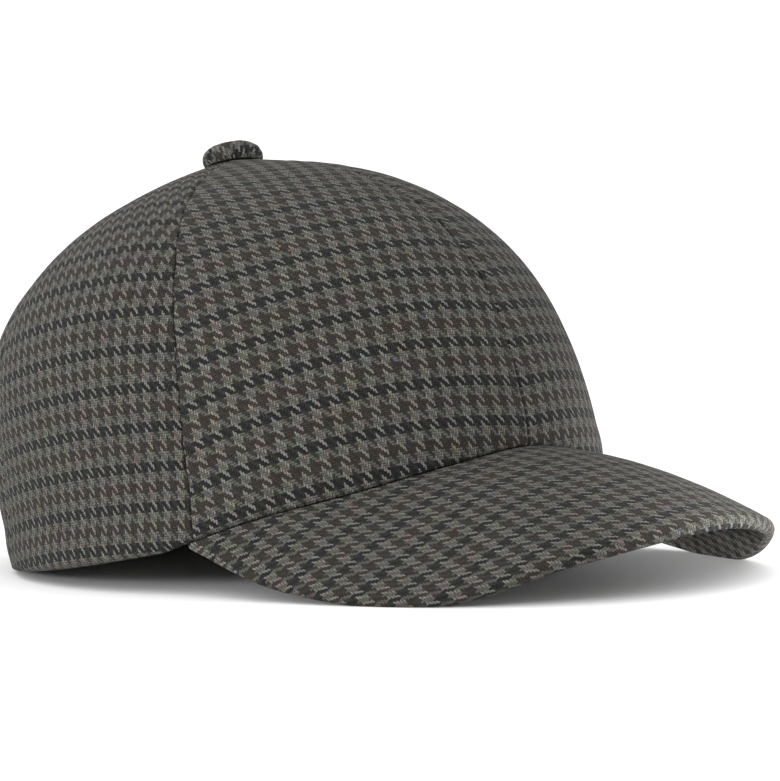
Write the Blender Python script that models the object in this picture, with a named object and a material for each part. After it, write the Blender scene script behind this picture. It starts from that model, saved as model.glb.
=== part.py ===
"""Six panel cap with a curved peak, cut from a checked wool cloth, at rest on a flat surface.

The cap is drawn in its own frame: the origin is the middle of the rim, Z runs up the crown,
the peak points to -Y and the wearer's right is -X. An azimuth of 0 is the front middle of the
rim, and it grows towards the wearer's left. The finished cap is then pitched until it stands
on the back of its rim and on the two low sides of the peak, and its footprint is centred.
"""
import math
from collections import namedtuple

import bmesh
import bpy
from mathutils import Matrix, Vector

# Crown, in metres.
RIM_HALF_LENGTH = 0.1017
RIM_HALF_WIDTH = 0.0843
RIM_FRONT_FULLNESS = 0.01
RIM_SIDE_DIP = 0.0012
RIM_BACK_RISE = 0.0089
RIM_RISE_AZIMUTH = math.radians(70.0)
RIM_STEP_ANGLE = math.radians(6.0)
CROWN_HEIGHT = 0.1222
APEX_SETBACK = 0.0073
APEX_SLOPE = math.radians(14.0)
APEX_HOLE_RADIUS = 0.0026
PANEL_PUFF = 0.0013
PUFF_SHARPNESS = 5.0

# How the crown climbs at the front, the side and the back. Its line leaves the rim towards a
# handle that lies swell beyond the rim at swell_height, and reaches the apex from a handle
# that lies top_reach out from it. Swell and reach are shares of RIM_HALF_WIDTH, and the
# height is a share of CROWN_HEIGHT.
Climb = namedtuple("Climb", "swell swell_height top_reach")
FRONT_CLIMB = Climb(0.064, 0.754, 0.588)
SIDE_CLIMB = Climb(-0.166, 0.374, 1.243)
BACK_CLIMB = Climb(0.301, 0.693, 0.984)

# Seams and cloth.
SIDE_SEAM_AZIMUTH = math.radians(64.0)
REAR_SEAM_AZIMUTH = math.radians(122.0)
CLEARANCE = 0.0003
CLOTH_WALL = 0.0018
HEM_WALL = 0.0030
HEM_HEIGHT = 0.022
HEM_STEP = 0.0012
HEM_ROUNDING = 0.0009

# Peak. Its two covers lie on each other, and thin out towards the ends.
PEAK_PAST_SEAM = math.radians(0.8)
PEAK_LENGTH = 0.0633
PEAK_FULLNESS = 0.0044
PEAK_POINTEDNESS = 1.07
PEAK_LIFT = 0.0128
PEAK_DROP = 0.0253
PEAK_CAMBER = 0.0034
PEAK_THICKNESS = 0.0044
PEAK_END_THICKNESS = 0.0014
PEAK_UPRIGHT_REACH = 0.0066

# Heights along one half of the peak, from its middle to its end. Share is the place along the
# half. Join is the height of its line against the crown as a share of PEAK_LIFT, and edge is
# the depth of its free edge below the rim as a share of PEAK_DROP. Body is the thickness, from
# PEAK_END_THICKNESS at 0 to PEAK_THICKNESS at 1.
PeakRow = namedtuple("PeakRow", "share join edge body")
PEAK_ROWS = (
    PeakRow(0.00, 1.00, 0.63, 1.0),
    PeakRow(0.30, 0.75, 0.78, 1.0),
    PeakRow(0.55, 0.48, 1.00, 1.0),
    PeakRow(0.80, 0.27, 0.65, 0.7),
    PeakRow(1.00, 0.01, 0.03, 0.0),
)

# Button on the apex and the washer that holds its shank from inside.
BUTTON_RADIUS = 0.0097
BUTTON_HEIGHT = 0.0050
BUTTON_EDGE = 0.0022
BUTTON_FULLNESS = 0.75
SHANK_RADIUS = 0.0021
WASHER_RADIUS = 0.0065
WASHER_THICKNESS = 0.0010

# How deep the cloth is pressed flat where the cap stands on it.
SETTLE_DEPTH = 0.0006

# Divisions of the meshes. The shares across a panel crowd towards its two seams, the contact
# shares add columns where the peak stands on the floor, and the turns go round the roll of the
# peak's edge and over the button.
PANEL_COLUMNS = (0.0, 0.03, 0.09, 0.18, 0.28, 0.39, 0.5, 0.61, 0.72, 0.82, 0.91, 0.97, 1.0)
CROWN_ROWS = (0.11, 0.22, 0.33, 0.44, 0.55, 0.66, 0.77, 0.87, 0.95, 1.0)
CONTACT_COLUMNS = (0.53, 0.555, 0.58)
PEAK_REACHES = (0.12, 0.25, 0.45, 0.65, 0.85)
EDGE_TURNS = tuple(math.radians(turn) for turn in (0.0, 30.0, 45.0, 60.0, 78.0))
DOME_TURNS = tuple(math.radians(turn) for turn in (22.5, 45.0, 67.5))
TURNED_SIDES = 32
CREASE_ANGLE = math.radians(50.0)

# Fineness of the searches and slopes, as shares of the whole, and the pitch searched up to.
SLOPE_STEP = 0.001
PEAK_SLOPE_STEP = 0.01
LENGTH_STEPS = 200
HALVINGS = 40
STEEPEST_PITCH = math.radians(40.0)

PEAK_END_AZIMUTH = SIDE_SEAM_AZIMUTH + PEAK_PAST_SEAM


def clear_scene():
    for thing in list(bpy.data.objects):
        bpy.data.objects.remove(thing, do_unlink=True)


def ease(share):
    """A smooth step from 0 to 1."""
    share = min(max(share, 0.0), 1.0)
    return share * share * (3.0 - 2.0 * share)


def read_rows(rows, share, column):
    """The value of a column at a share, on a smooth curve through the table's rows."""
    share = min(abs(share), 1.0)
    places = [row.share for row in rows]
    values = [getattr(row, column) for row in rows]
    last = len(rows) - 1
    slopes = [0.0]
    for i in range(1, last):
        slopes.append((values[i + 1] - values[i - 1]) / (places[i + 1] - places[i - 1]))
    slopes.append((values[last] - values[last - 1]) / (places[last] - places[last - 1]))
    i = max(k for k in range(last) if places[k] <= share)
    span = places[i + 1] - places[i]
    q = (share - places[i]) / span
    start = values[i] * (1 + 2 * q) * (1 - q) ** 2 + slopes[i] * span * q * (1 - q) ** 2
    end = values[i + 1] * q * q * (3 - 2 * q) - slopes[i + 1] * span * q * q * (1 - q)
    return start + end


def rim_plan(azimuth):
    """The rim seen from above: a long oval, a little fuller in front."""
    fullness = 1.0 + RIM_FRONT_FULLNESS * math.cos(azimuth)
    return Vector((RIM_HALF_WIDTH * math.sin(azimuth) * fullness, -RIM_HALF_LENGTH * math.cos(azimuth)))


def join_height(share):
    return PEAK_LIFT * read_rows(PEAK_ROWS, share, "join")


def rim_height(azimuth):
    """Height of the crown's lower edge: it follows the peak, then steps down to the open rim."""
    turned = abs(azimuth)
    if turned <= PEAK_END_AZIMUTH:
        return join_height(turned / PEAK_END_AZIMUTH)
    level = math.cos(RIM_RISE_AZIMUTH)
    toward_back = max(level - math.cos(turned), 0.0) / (1.0 + level)
    open_rim = (RIM_BACK_RISE + RIM_SIDE_DIP) * toward_back ** 2 - RIM_SIDE_DIP
    step = ease((turned - PEAK_END_AZIMUTH) / RIM_STEP_ANGLE)
    return open_rim + (join_height(1.0) - open_rim) * (1.0 - step)


def rim_bearing(azimuth):
    """Distance and compass bearing of a rim point, seen from the crown's axis."""
    x, y = rim_plan(azimuth)
    forward = APEX_SETBACK - y
    return math.hypot(x, forward), math.atan2(x, forward)


def climb_at(azimuth):
    """The crown's climb at an azimuth, blended between front, side and back."""
    facing = math.cos(azimuth)
    front = max(facing, 0.0) ** 2
    back = max(-facing, 0.0) ** 2
    side = 1.0 - front - back
    parts = zip(FRONT_CLIMB, SIDE_CLIMB, BACK_CLIMB)
    return Climb(*(front * f + side * s + back * b for f, s, b in parts))


def crown_profile(azimuth, rise, puff=0.0):
    """Distance from the axis and height of the outer cloth. Rise runs from rim 0 to apex 1."""
    climb = climb_at(azimuth)
    rim_radius, _ = rim_bearing(azimuth)
    top_reach = climb.top_reach * RIM_HALF_WIDTH
    left = 1.0 - rise
    weights = (left ** 3, 3 * rise * left ** 2, 3 * rise ** 2 * left, rise ** 3)
    radii = (rim_radius, rim_radius + climb.swell * RIM_HALF_WIDTH, top_reach, 0.0)
    heights = (
        rim_height(azimuth),
        climb.swell_height * CROWN_HEIGHT,
        CROWN_HEIGHT - top_reach * math.tan(APEX_SLOPE),
        CROWN_HEIGHT,
    )
    radius = sum(w * r for w, r in zip(weights, radii)) + 4.0 * puff * rise * left
    return radius, sum(w * h for w, h in zip(weights, heights))


def inward(azimuth, rise, puff):
    """Unit direction, in the upright plane through the axis, from the outer cloth to the inner."""
    low = crown_profile(azimuth, max(rise - SLOPE_STEP, 0.0), puff)
    high = crown_profile(azimuth, min(rise + SLOPE_STEP, 1.0), puff)
    along = Vector((high[0] - low[0], high[1] - low[1])).normalized()
    return Vector((-along.y, along.x))


def rise_at_radius(azimuth, radius):
    """The rise at which the crown has closed in to a radius round the apex."""
    low, high = 0.5, 1.0
    for _ in range(HALVINGS):
        middle = (low + high) / 2
        if crown_profile(azimuth, middle)[0] > radius:
            low = middle
        else:
            high = middle
    return low


def rise_at_length(azimuth, length):
    """The rise that lies a given length of cloth above the rim."""
    done = 0.0
    before = Vector(crown_profile(azimuth, 0.0))
    for i in range(1, LENGTH_STEPS + 1):
        here = Vector(crown_profile(azimuth, i / LENGTH_STEPS))
        done += (here - before).length
        before = here
        if done >= length:
            return i / LENGTH_STEPS
    return 1.0


def panel_outline(azimuth, puff):
    """Closed outline of a panel's cloth in the upright plane at an azimuth: up outside, down inside.

    The cloth is turned up inside along the rim as a hem, so the wall is thicker there.
    """
    top = rise_at_radius(azimuth, APEX_HOLE_RADIUS)
    round_off = rise_at_length(azimuth, HEM_ROUNDING)
    hem_top = rise_at_length(azimuth, HEM_HEIGHT)
    step_top = rise_at_length(azimuth, HEM_HEIGHT + HEM_STEP)
    rises = [(round_off, HEM_WALL), (hem_top, HEM_WALL), (step_top, CLOTH_WALL)]
    rises += [(step_top + (top - step_top) * row, CLOTH_WALL) for row in CROWN_ROWS]

    def wall_point(rise, depth):
        return Vector(crown_profile(azimuth, rise, puff)) + inward(azimuth, rise, puff) * depth

    outside = [wall_point(rise, 0.0) for rise, _ in rises]
    inside = [wall_point(rise, wall) for rise, wall in rises]
    sole = [wall_point(0.0, HEM_WALL - HEM_ROUNDING), wall_point(0.0, HEM_ROUNDING)]
    for point in sole:
        point.y = rim_height(azimuth)
    return outside + inside[::-1] + sole


def panel_puff(across):
    """How far a panel stands proud of its seams, from seam 0 to seam 1."""
    return PANEL_PUFF * (1.0 - abs(2.0 * across - 1.0) ** PUFF_SHARPNESS)


def crown_place(bearing, radius, height):
    return Vector((math.sin(bearing) * radius, APEX_SETBACK - math.cos(bearing) * radius, height))


def panel_sections(first_seam, last_seam):
    """Cross sections of a panel from seam to seam, kept clear of both seam planes."""
    sections = []
    for across in PANEL_COLUMNS:
        azimuth = first_seam + (last_seam - first_seam) * across
        bearing = rim_bearing(azimuth)[1]
        section = []
        for radius, height in panel_outline(azimuth, panel_puff(across)):
            inset = math.asin(CLEARANCE / 2 / radius) * (1.0 - 2.0 * across)
            section.append(crown_place(bearing + inset, radius, height))
        sections.append(section)
    return sections


def peak_outline(share):
    """The peak's free edge from above, over the middle at share 0 to its ends at -1 and 1."""
    end = rim_plan(PEAK_END_AZIMUTH)
    turn = abs(share) * math.pi / 2
    x = end.x * math.sin(turn) + PEAK_FULLNESS * math.sin(2 * turn)
    tip = -(RIM_HALF_LENGTH + PEAK_LENGTH)
    y = end.y + (tip - end.y) * max(math.cos(turn), 0.0) ** PEAK_POINTEDNESS
    return Vector((math.copysign(x, share), y))


def peak_face(share, reach):
    """The peak's upper face, from the crown at reach 0 to the free edge at reach 1."""
    azimuth = share * PEAK_END_AZIMUTH
    radius, bearing = rim_bearing(azimuth)
    join = crown_place(bearing, radius, rim_height(azimuth) - CLEARANCE)
    x, y = peak_outline(share)
    edge = Vector((x, y, -PEAK_DROP * read_rows(PEAK_ROWS, share, "edge")))
    point = join.lerp(edge, reach)
    point.z += PEAK_CAMBER * 4.0 * reach * (1.0 - reach) * (1.0 - share * share)
    return point


def peak_up(share, reach, distance):
    """Unit direction through the peak: upright at the crown, square to its face farther out."""
    outward = peak_face(share, reach) - peak_face(share, reach - PEAK_SLOPE_STEP)
    low = max(share - PEAK_SLOPE_STEP, -1.0)
    high = min(share + PEAK_SLOPE_STEP, 1.0)
    across = peak_face(high, reach) - peak_face(low, reach)
    square = outward.cross(across).normalized()
    upright = Vector((0.0, 0.0, 1.0))
    return upright.lerp(square, ease(distance / PEAK_UPRIGHT_REACH)).normalized()


def peak_outlines(share):
    """Closed outlines of the upper and the under cover across the peak at a share."""
    body = read_rows(PEAK_ROWS, share, "body")
    thickness = PEAK_END_THICKNESS + (PEAK_THICKNESS - PEAK_END_THICKNESS) * body
    half = thickness / 2
    width = (peak_face(share, 1.0) - peak_face(share, 0.0)).length
    roll = min(half, width / 3)
    flat_end = 1.0 - roll / width
    rows = [(reach * flat_end, half) for reach in PEAK_REACHES]
    rows += [(1.0 - roll * (1.0 - math.sin(turn)) / width, half * math.cos(turn)) for turn in EDGE_TURNS]

    corner = peak_face(share, 0.0)
    toward_axis = Vector((-corner.x, APEX_SETBACK - corner.y, 0.0)).normalized()
    lip = corner + toward_axis * HEM_WALL
    middle_lip = lip - Vector((0.0, 0.0, half))
    under_lip = lip - Vector((0.0, 0.0, thickness))
    gap = Vector((0.0, 0.0, CLEARANCE / 2))

    upper = [lip, corner]
    upper_inside = [middle_lip + gap]
    under = [under_lip]
    under_inside = [middle_lip - gap]
    for reach, lift in rows:
        up = peak_up(share, reach, reach * width)
        middle = peak_face(share, reach) - up * half
        upper.append(middle + up * lift)
        upper_inside.append(middle + up * CLEARANCE / 2)
        under.append(middle - up * lift)
        under_inside.append(middle - up * CLEARANCE / 2)
    return upper + upper_inside[::-1], under + under_inside[::-1]


def peak_shares():
    """Places along the peak, in line with the columns of the front panels and at its ends."""
    columns = sorted(PANEL_COLUMNS + CONTACT_COLUMNS)
    half = [across * SIDE_SEAM_AZIMUTH / PEAK_END_AZIMUTH for across in columns] + [1.0]
    return [-share for share in half[:0:-1]] + half


def plain_material(name, colour, roughness, metallic=0.0):
    material = bpy.data.materials.new(name)
    material.use_nodes = True
    shader = material.node_tree.nodes["Principled BSDF"]
    shader.inputs["Base Color"].default_value = (*colour, 1.0)
    shader.inputs["Roughness"].default_value = roughness
    shader.inputs["Metallic"].default_value = metallic
    return material


def place_solid(name, work, material):
    """Turns finished faces outward and puts them in the scene as one named solid."""
    bmesh.ops.recalc_face_normals(work, faces=work.faces)
    bmesh.ops.triangulate(work, faces=work.faces, quad_method="BEAUTY", ngon_method="EAR_CLIP")
    mesh = bpy.data.meshes.new(name)
    work.to_mesh(mesh)
    work.free()
    mesh.materials.append(material)
    mesh.shade_smooth()
    mesh.set_sharp_from_angle(angle=CREASE_ANGLE)
    solid = bpy.data.objects.new(name, mesh)
    bpy.context.scene.collection.objects.link(solid)
    return solid


def swept_solid(name, sections, material):
    """A solid swept through closed sections and capped at both ends."""
    work = bmesh.new()
    loops = [[work.verts.new(point) for point in section] for section in sections]
    count = len(loops[0])
    work.faces.new(loops[0])
    work.faces.new(loops[-1])
    for here, there in zip(loops, loops[1:]):
        for i in range(count):
            j = (i + 1) % count
            work.faces.new((here[i], here[j], there[j], there[i]))
    return place_solid(name, work, material)


def turned_solid(name, profile, material):
    """A solid turned round the crown's axis. The profile starts and ends on the axis."""
    work = bmesh.new()
    first = work.verts.new(crown_place(0.0, *profile[0]))
    last = work.verts.new(crown_place(0.0, *profile[-1]))
    bearings = [2 * math.pi * side / TURNED_SIDES for side in range(TURNED_SIDES)]
    rings = []
    for radius, height in profile[1:-1]:
        rings.append([work.verts.new(crown_place(bearing, radius, height)) for bearing in bearings])
    for i in range(TURNED_SIDES):
        j = (i + 1) % TURNED_SIDES
        work.faces.new((first, rings[0][i], rings[0][j]))
        work.faces.new((last, rings[-1][j], rings[-1][i]))
        for low, high in zip(rings, rings[1:]):
            work.faces.new((low[i], high[i], high[j], low[j]))
    return place_solid(name, work, material)


def cone_height(radius):
    """How far the crown's top has fallen at a distance from the axis."""
    return -radius * math.tan(APEX_SLOPE)


def build_crown(wool):
    seams = (
        ("front", 0.0, SIDE_SEAM_AZIMUTH),
        ("side", SIDE_SEAM_AZIMUTH, REAR_SEAM_AZIMUTH),
        ("back", REAR_SEAM_AZIMUTH, math.pi),
    )
    panels = []
    for place, near, far in seams:
        panels.append(swept_solid(f"panel_{place}_left", panel_sections(near, far), wool))
        panels.append(swept_solid(f"panel_{place}_right", panel_sections(-far, -near), wool))
    return panels


def build_peak(wool, under_wool):
    outlines = [peak_outlines(share) for share in peak_shares()]
    upper = swept_solid("peak_upper_cover", [pair[0] for pair in outlines], wool)
    under = swept_solid("peak_under_cover", [pair[1] for pair in outlines], under_wool)
    return [upper, under]


def build_button(wool, metal):
    """The covered button, whose shank runs through the apex, and the washer inside."""
    seat = CROWN_HEIGHT + CLEARANCE
    washer_top = CROWN_HEIGHT - CLOTH_WALL / math.cos(APEX_SLOPE) - CLEARANCE
    shank_end = washer_top + CLEARANCE / 2
    base_radius = BUTTON_RADIUS - BUTTON_EDGE / 2
    dome_base = seat + cone_height(BUTTON_RADIUS) + BUTTON_EDGE
    dome_height = CROWN_HEIGHT + BUTTON_HEIGHT - dome_base
    profile = [(0.0, shank_end), (SHANK_RADIUS, shank_end)]
    profile += [(SHANK_RADIUS, seat + cone_height(SHANK_RADIUS))]
    profile += [(base_radius, seat + cone_height(base_radius)), (BUTTON_RADIUS, dome_base)]
    for turn in DOME_TURNS:
        out = BUTTON_RADIUS * math.cos(turn) ** BUTTON_FULLNESS
        profile += [(out, dome_base + dome_height * math.sin(turn))]
    profile += [(0.0, CROWN_HEIGHT + BUTTON_HEIGHT)]
    button = turned_solid("button", profile, wool)

    outer_top = washer_top + cone_height(WASHER_RADIUS)
    inner_top = washer_top + cone_height(SHANK_RADIUS) - CLEARANCE
    profile = [(0.0, inner_top - WASHER_THICKNESS)]
    profile += [(SHANK_RADIUS, inner_top - WASHER_THICKNESS)]
    profile += [(WASHER_RADIUS, outer_top - WASHER_THICKNESS), (WASHER_RADIUS, outer_top)]
    profile += [(SHANK_RADIUS, inner_top), (0.0, inner_top)]
    washer = turned_solid("button_washer", profile, metal)
    return [button, washer]


def lowest(pieces, pitch):
    """Lowest height of the pieces once the cap is pitched."""
    down = Vector((0.0, -math.sin(pitch), math.cos(pitch)))
    return min(vertex.co.dot(down) for piece in pieces for vertex in piece.data.vertices)


def resting_pitch(crown, peak):
    """The pitch at which the rim and the peak stand on one level."""
    low, high = 0.0, STEEPEST_PITCH
    for _ in range(HALVINGS):
        middle = (low + high) / 2
        if lowest(peak, middle) < lowest(crown, middle):
            low = middle
        else:
            high = middle
    return (low + high) / 2


def stand_cap(crown, peak, trim):
    """Pitches the cap, centres its footprint and presses the cloth flat where it stands."""
    pitch = resting_pitch(crown, peak)
    pieces = crown + peak + trim
    turn = Matrix.Rotation(-pitch, 4, "X")
    for piece in pieces:
        piece.data.transform(turn)
    points = [vertex.co for piece in pieces for vertex in piece.data.vertices]
    middle_x = (min(p.x for p in points) + max(p.x for p in points)) / 2
    middle_y = (min(p.y for p in points) + max(p.y for p in points)) / 2
    floor = min(p.z for p in points) + SETTLE_DEPTH
    shift = Matrix.Translation((-middle_x, -middle_y, -floor))
    for piece in pieces:
        piece.data.transform(shift)
        for vertex in piece.data.vertices:
            vertex.co.z = max(vertex.co.z, 0.0)
        piece.data.update()


def main():
    clear_scene()
    wool = plain_material("checked_wool", (0.085, 0.080, 0.071), 0.92)
    under_wool = plain_material("checked_wool_under", (0.080, 0.076, 0.068), 0.94)
    metal = plain_material("washer_metal", (0.28, 0.27, 0.25), 0.45, metallic=1.0)
    crown = build_crown(wool)
    peak = build_peak(wool, under_wool)
    trim = build_button(wool, metal)
    stand_cap(crown, peak, trim)


main()
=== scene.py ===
"""Six panel cap in a checked wool: cloth shapes, woven finish, light, floor and camera.

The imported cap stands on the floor. Its crown is drawn in the cap's own frame, as its maker would:
the origin is the middle of the rim, Z runs up the crown, the peak points to -Y and the wearer's
left is +X. An azimuth of 0 is the front middle of the rim and grows towards the wearer's left.
"""
import math

import bmesh
import bpy
import numpy as np
from bpy.props import FloatProperty, FloatVectorProperty, PointerProperty
from mathutils import Matrix, Vector, noise


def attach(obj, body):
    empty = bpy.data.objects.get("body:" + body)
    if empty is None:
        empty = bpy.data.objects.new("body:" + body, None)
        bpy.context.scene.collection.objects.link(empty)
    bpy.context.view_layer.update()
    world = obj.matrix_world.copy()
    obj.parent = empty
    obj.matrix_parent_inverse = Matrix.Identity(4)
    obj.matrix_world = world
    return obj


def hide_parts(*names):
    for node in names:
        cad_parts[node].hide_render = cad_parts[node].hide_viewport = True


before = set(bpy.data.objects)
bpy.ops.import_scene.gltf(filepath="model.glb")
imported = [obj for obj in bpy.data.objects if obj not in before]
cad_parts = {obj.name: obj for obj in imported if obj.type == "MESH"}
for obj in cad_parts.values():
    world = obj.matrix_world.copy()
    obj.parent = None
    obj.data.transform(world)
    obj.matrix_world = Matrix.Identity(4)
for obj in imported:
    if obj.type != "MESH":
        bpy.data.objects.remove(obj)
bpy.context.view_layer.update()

bl_info = {
    "name": "Checked wool cap",
    "version": (1, 0, 0),
    "blender": (4, 5, 0),
    "location": "3D View > Sidebar > Cap",
    "description": "Builds the cloth of a six panel cap with a curved peak round its packed frame",
    "category": "Object",
}

MM = 0.001

# The crown, peak and button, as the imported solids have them. A climb is how far the lower handle
# of the crown's line swells beyond the rim, how high that handle lies, and how far out from the
# apex the upper handle lies: shares of RIM_HALF_WIDTH, CROWN_HEIGHT and RIM_HALF_WIDTH.
RIM_HALF_LENGTH = 101.7 * MM
RIM_HALF_WIDTH = 84.3 * MM
RIM_FRONT_FULLNESS = 0.01
RIM_SIDE_DIP = 1.2 * MM
RIM_BACK_RISE = 8.9 * MM
RIM_RISE_AZIMUTH = math.radians(70.0)
RIM_STEP_ANGLE = math.radians(6.0)
CROWN_HEIGHT = 122.2 * MM
APEX_SETBACK = 7.3 * MM
APEX_SLOPE = math.radians(14.0)
APEX_HOLE_RADIUS = 2.6 * MM
PANEL_PUFF = 1.3 * MM
PUFF_SHARPNESS = 5.0
CLIMBS = {
    "front": (0.064, 0.754, 0.588),
    "side": (-0.166, 0.374, 1.243),
    "back": (0.301, 0.693, 0.984),
}
SIDE_SEAM_AZIMUTH = math.radians(64.0)
REAR_SEAM_AZIMUTH = math.radians(122.0)
CLEARANCE = 0.3 * MM
SEAM_GAP = 0.08 * MM
CLOTH_WALL = 1.8 * MM
HEM_WALL = 3.0 * MM
HEM_HEIGHT = 22.0 * MM
HEM_STEP = 1.2 * MM
PEAK_END_AZIMUTH = SIDE_SEAM_AZIMUTH + math.radians(0.8)
PEAK_LENGTH = 63.3 * MM
PEAK_FULLNESS = 4.4 * MM
PEAK_POINTEDNESS = 1.07
PEAK_LIFT = 12.8 * MM
PEAK_DROP = 25.3 * MM
PEAK_CAMBER = 3.4 * MM
PEAK_THICKNESS = 4.4 * MM
PEAK_END_THICKNESS = 1.4 * MM
PEAK_UPRIGHT_REACH = 6.6 * MM
PEAK_SHARES = (0.0, 0.30, 0.55, 0.80, 1.0)
PEAK_JOIN = (1.00, 0.75, 0.48, 0.27, 0.01)
PEAK_EDGE = (0.63, 0.78, 1.00, 0.65, 0.03)
PEAK_BODY = (1.0, 1.0, 1.0, 0.7, 0.0)
BUTTON_RADIUS = 9.7 * MM
BUTTON_HEIGHT = 5.0 * MM
BUTTON_EDGE = 2.2 * MM
BUTTON_TUCK = 1.2 * MM
SHANK_RADIUS = 2.1 * MM

# How the checks lie on each panel. Droop is how far the rows fall from their highest place to
# a seam one half panel away, crest is that place, from -1 at the rear seam to 1 at the front
# one, and row is the height of a blue row above the rim.
PANEL_CLOTH = {
    "front": {"droop": 4.3 * MM, "crest": 0.3, "row": 10.4 * MM},
    "side": {"droop": 2.05 * MM, "crest": -0.52, "row": 4.3 * MM},
    "back": {"droop": 3.0 * MM, "crest": 0.0, "row": 6.8 * MM},
}
FULL_DROOP_RADIUS = 50 * MM

# How the peak's flat cloth lies on its bent face, for places in millimetres across the peak and
# ahead of PEAK_MIDDLE.
PEAK_MIDDLE = -120 * MM
ACROSS_STRETCH = 1.053
ACROSS_WIDENING = 2.6e-5
ACROSS_NARROWING_AHEAD = 9.1e-4
AHEAD_STRETCH = 0.944
AHEAD_WIDENING = 4.96e-3
AHEAD_WIDENING_AT_SIDES = 1.49e-4
ROW_BEND = 8.8e-4
ROW_BEND_AT_SIDES = 1.09e-6

# Sizes and reaches of the cloth's finer forms, whose heights the panel in the sidebar sets.
PUCKER_SIZE = 9 * MM
PUCKER_REACH = 7 * MM
RIPPLE_SIZE = 28 * MM
SMALL_RIPPLE_SIZE = 11 * MM
RIPPLE_START = 8 * MM
HEM_ROLL_HEIGHT = 14 * MM
WAVER_SIZE = 5 * MM
WAVER_LEAST_RADIUS = 12 * MM
SINK_FULL_RADIUS = 20 * MM


class CapShape(bpy.types.PropertyGroup):
    """Sizes of the cloth's finer forms."""

    seam_rounding: FloatProperty(
        name="Seam rounding", description="Radius of the cloth where it turns into a seam",
        default=0.8 * MM, min=0.2 * MM, max=2 * MM, unit="LENGTH")
    seam_sink: FloatProperty(
        name="Seam sink", description="How far the cloth dips on both sides of a seam",
        default=0.35 * MM, min=0.0, max=2 * MM, unit="LENGTH")
    seam_reach: FloatProperty(
        name="Seam reach", description="How far from a seam the cloth starts to dip",
        default=5 * MM, min=1 * MM, max=15 * MM, unit="LENGTH")
    pucker: FloatProperty(
        name="Pucker", description="Height of the small gathers along the seams",
        default=0.16 * MM, min=0.0, max=1 * MM, unit="LENGTH")
    waver: FloatProperty(
        name="Seam waver", description="How far a seam strays sideways from its straight line",
        default=0.5 * MM, min=0.0, max=1 * MM, unit="LENGTH")
    ripple: FloatProperty(
        name="Ripple", description="Height of the soft unevenness of the cloth",
        default=0.22 * MM, min=0.0, max=1 * MM, unit="LENGTH")
    hem_roll: FloatProperty(
        name="Hem roll", description="How far the cloth swells out above the lower edge",
        default=0.5 * MM, min=0.0, max=2 * MM, unit="LENGTH")


class CapCloth(bpy.types.PropertyGroup):
    """Weave and colours of the wool."""

    check_width: FloatProperty(
        name="Check width", description="Width of one check, four dark and four light threads",
        default=5.05 * MM, min=2 * MM, max=30 * MM, unit="LENGTH")
    check_height: FloatProperty(
        name="Check height", description="Height of one check, four dark and four light threads",
        default=5.6 * MM, min=2 * MM, max=30 * MM, unit="LENGTH")
    light_cover: FloatProperty(
        name="Light warp cover", description="Share of its place that a light warp thread covers",
        default=0.68, min=0.1, max=1.5)
    dark_cover: FloatProperty(
        name="Dark warp cover", description="Share of its place that a dark warp thread covers",
        default=1.0, min=0.1, max=1.5)
    sway: FloatProperty(
        name="Thread sway", description="How far the threads wander from their straight line",
        default=0.6 * MM, min=0.0, max=3 * MM, unit="LENGTH")
    light: FloatVectorProperty(
        name="Light weft", description="Colour of the light yarn that runs round the crown",
        subtype="COLOR", size=3, default=(0.0735, 0.071, 0.0612), min=0.0, max=1.0)
    tick: FloatVectorProperty(
        name="Light warp", description="Colour of the light yarn that runs up the panels",
        subtype="COLOR", size=3, default=(0.128, 0.124, 0.1090), min=0.0, max=1.0)
    warp_dark: FloatVectorProperty(
        name="Dark warp", description="Colour of the dark yarn that runs up the panels",
        subtype="COLOR", size=3, default=(0.019, 0.019, 0.0155), min=0.0, max=1.0)
    navy: FloatVectorProperty(
        name="Blue weft", description="Colour of the blue black rows", subtype="COLOR", size=3,
        default=(0.0098, 0.0104, 0.0117), min=0.0, max=1.0)
    brown: FloatVectorProperty(
        name="Brown weft", description="Colour of the brown rows", subtype="COLOR", size=3,
        default=(0.0315, 0.0230, 0.0193), min=0.0, max=1.0)
    haze: FloatProperty(
        name="Haze", description="How much of the light fibres lies over the other threads",
        default=1.6, min=0.0, max=5.0)
    relief: FloatProperty(
        name="Thread relief", description="Height of the threads in the weave",
        default=0.4 * MM, min=0.0, max=1 * MM, unit="LENGTH")


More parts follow.
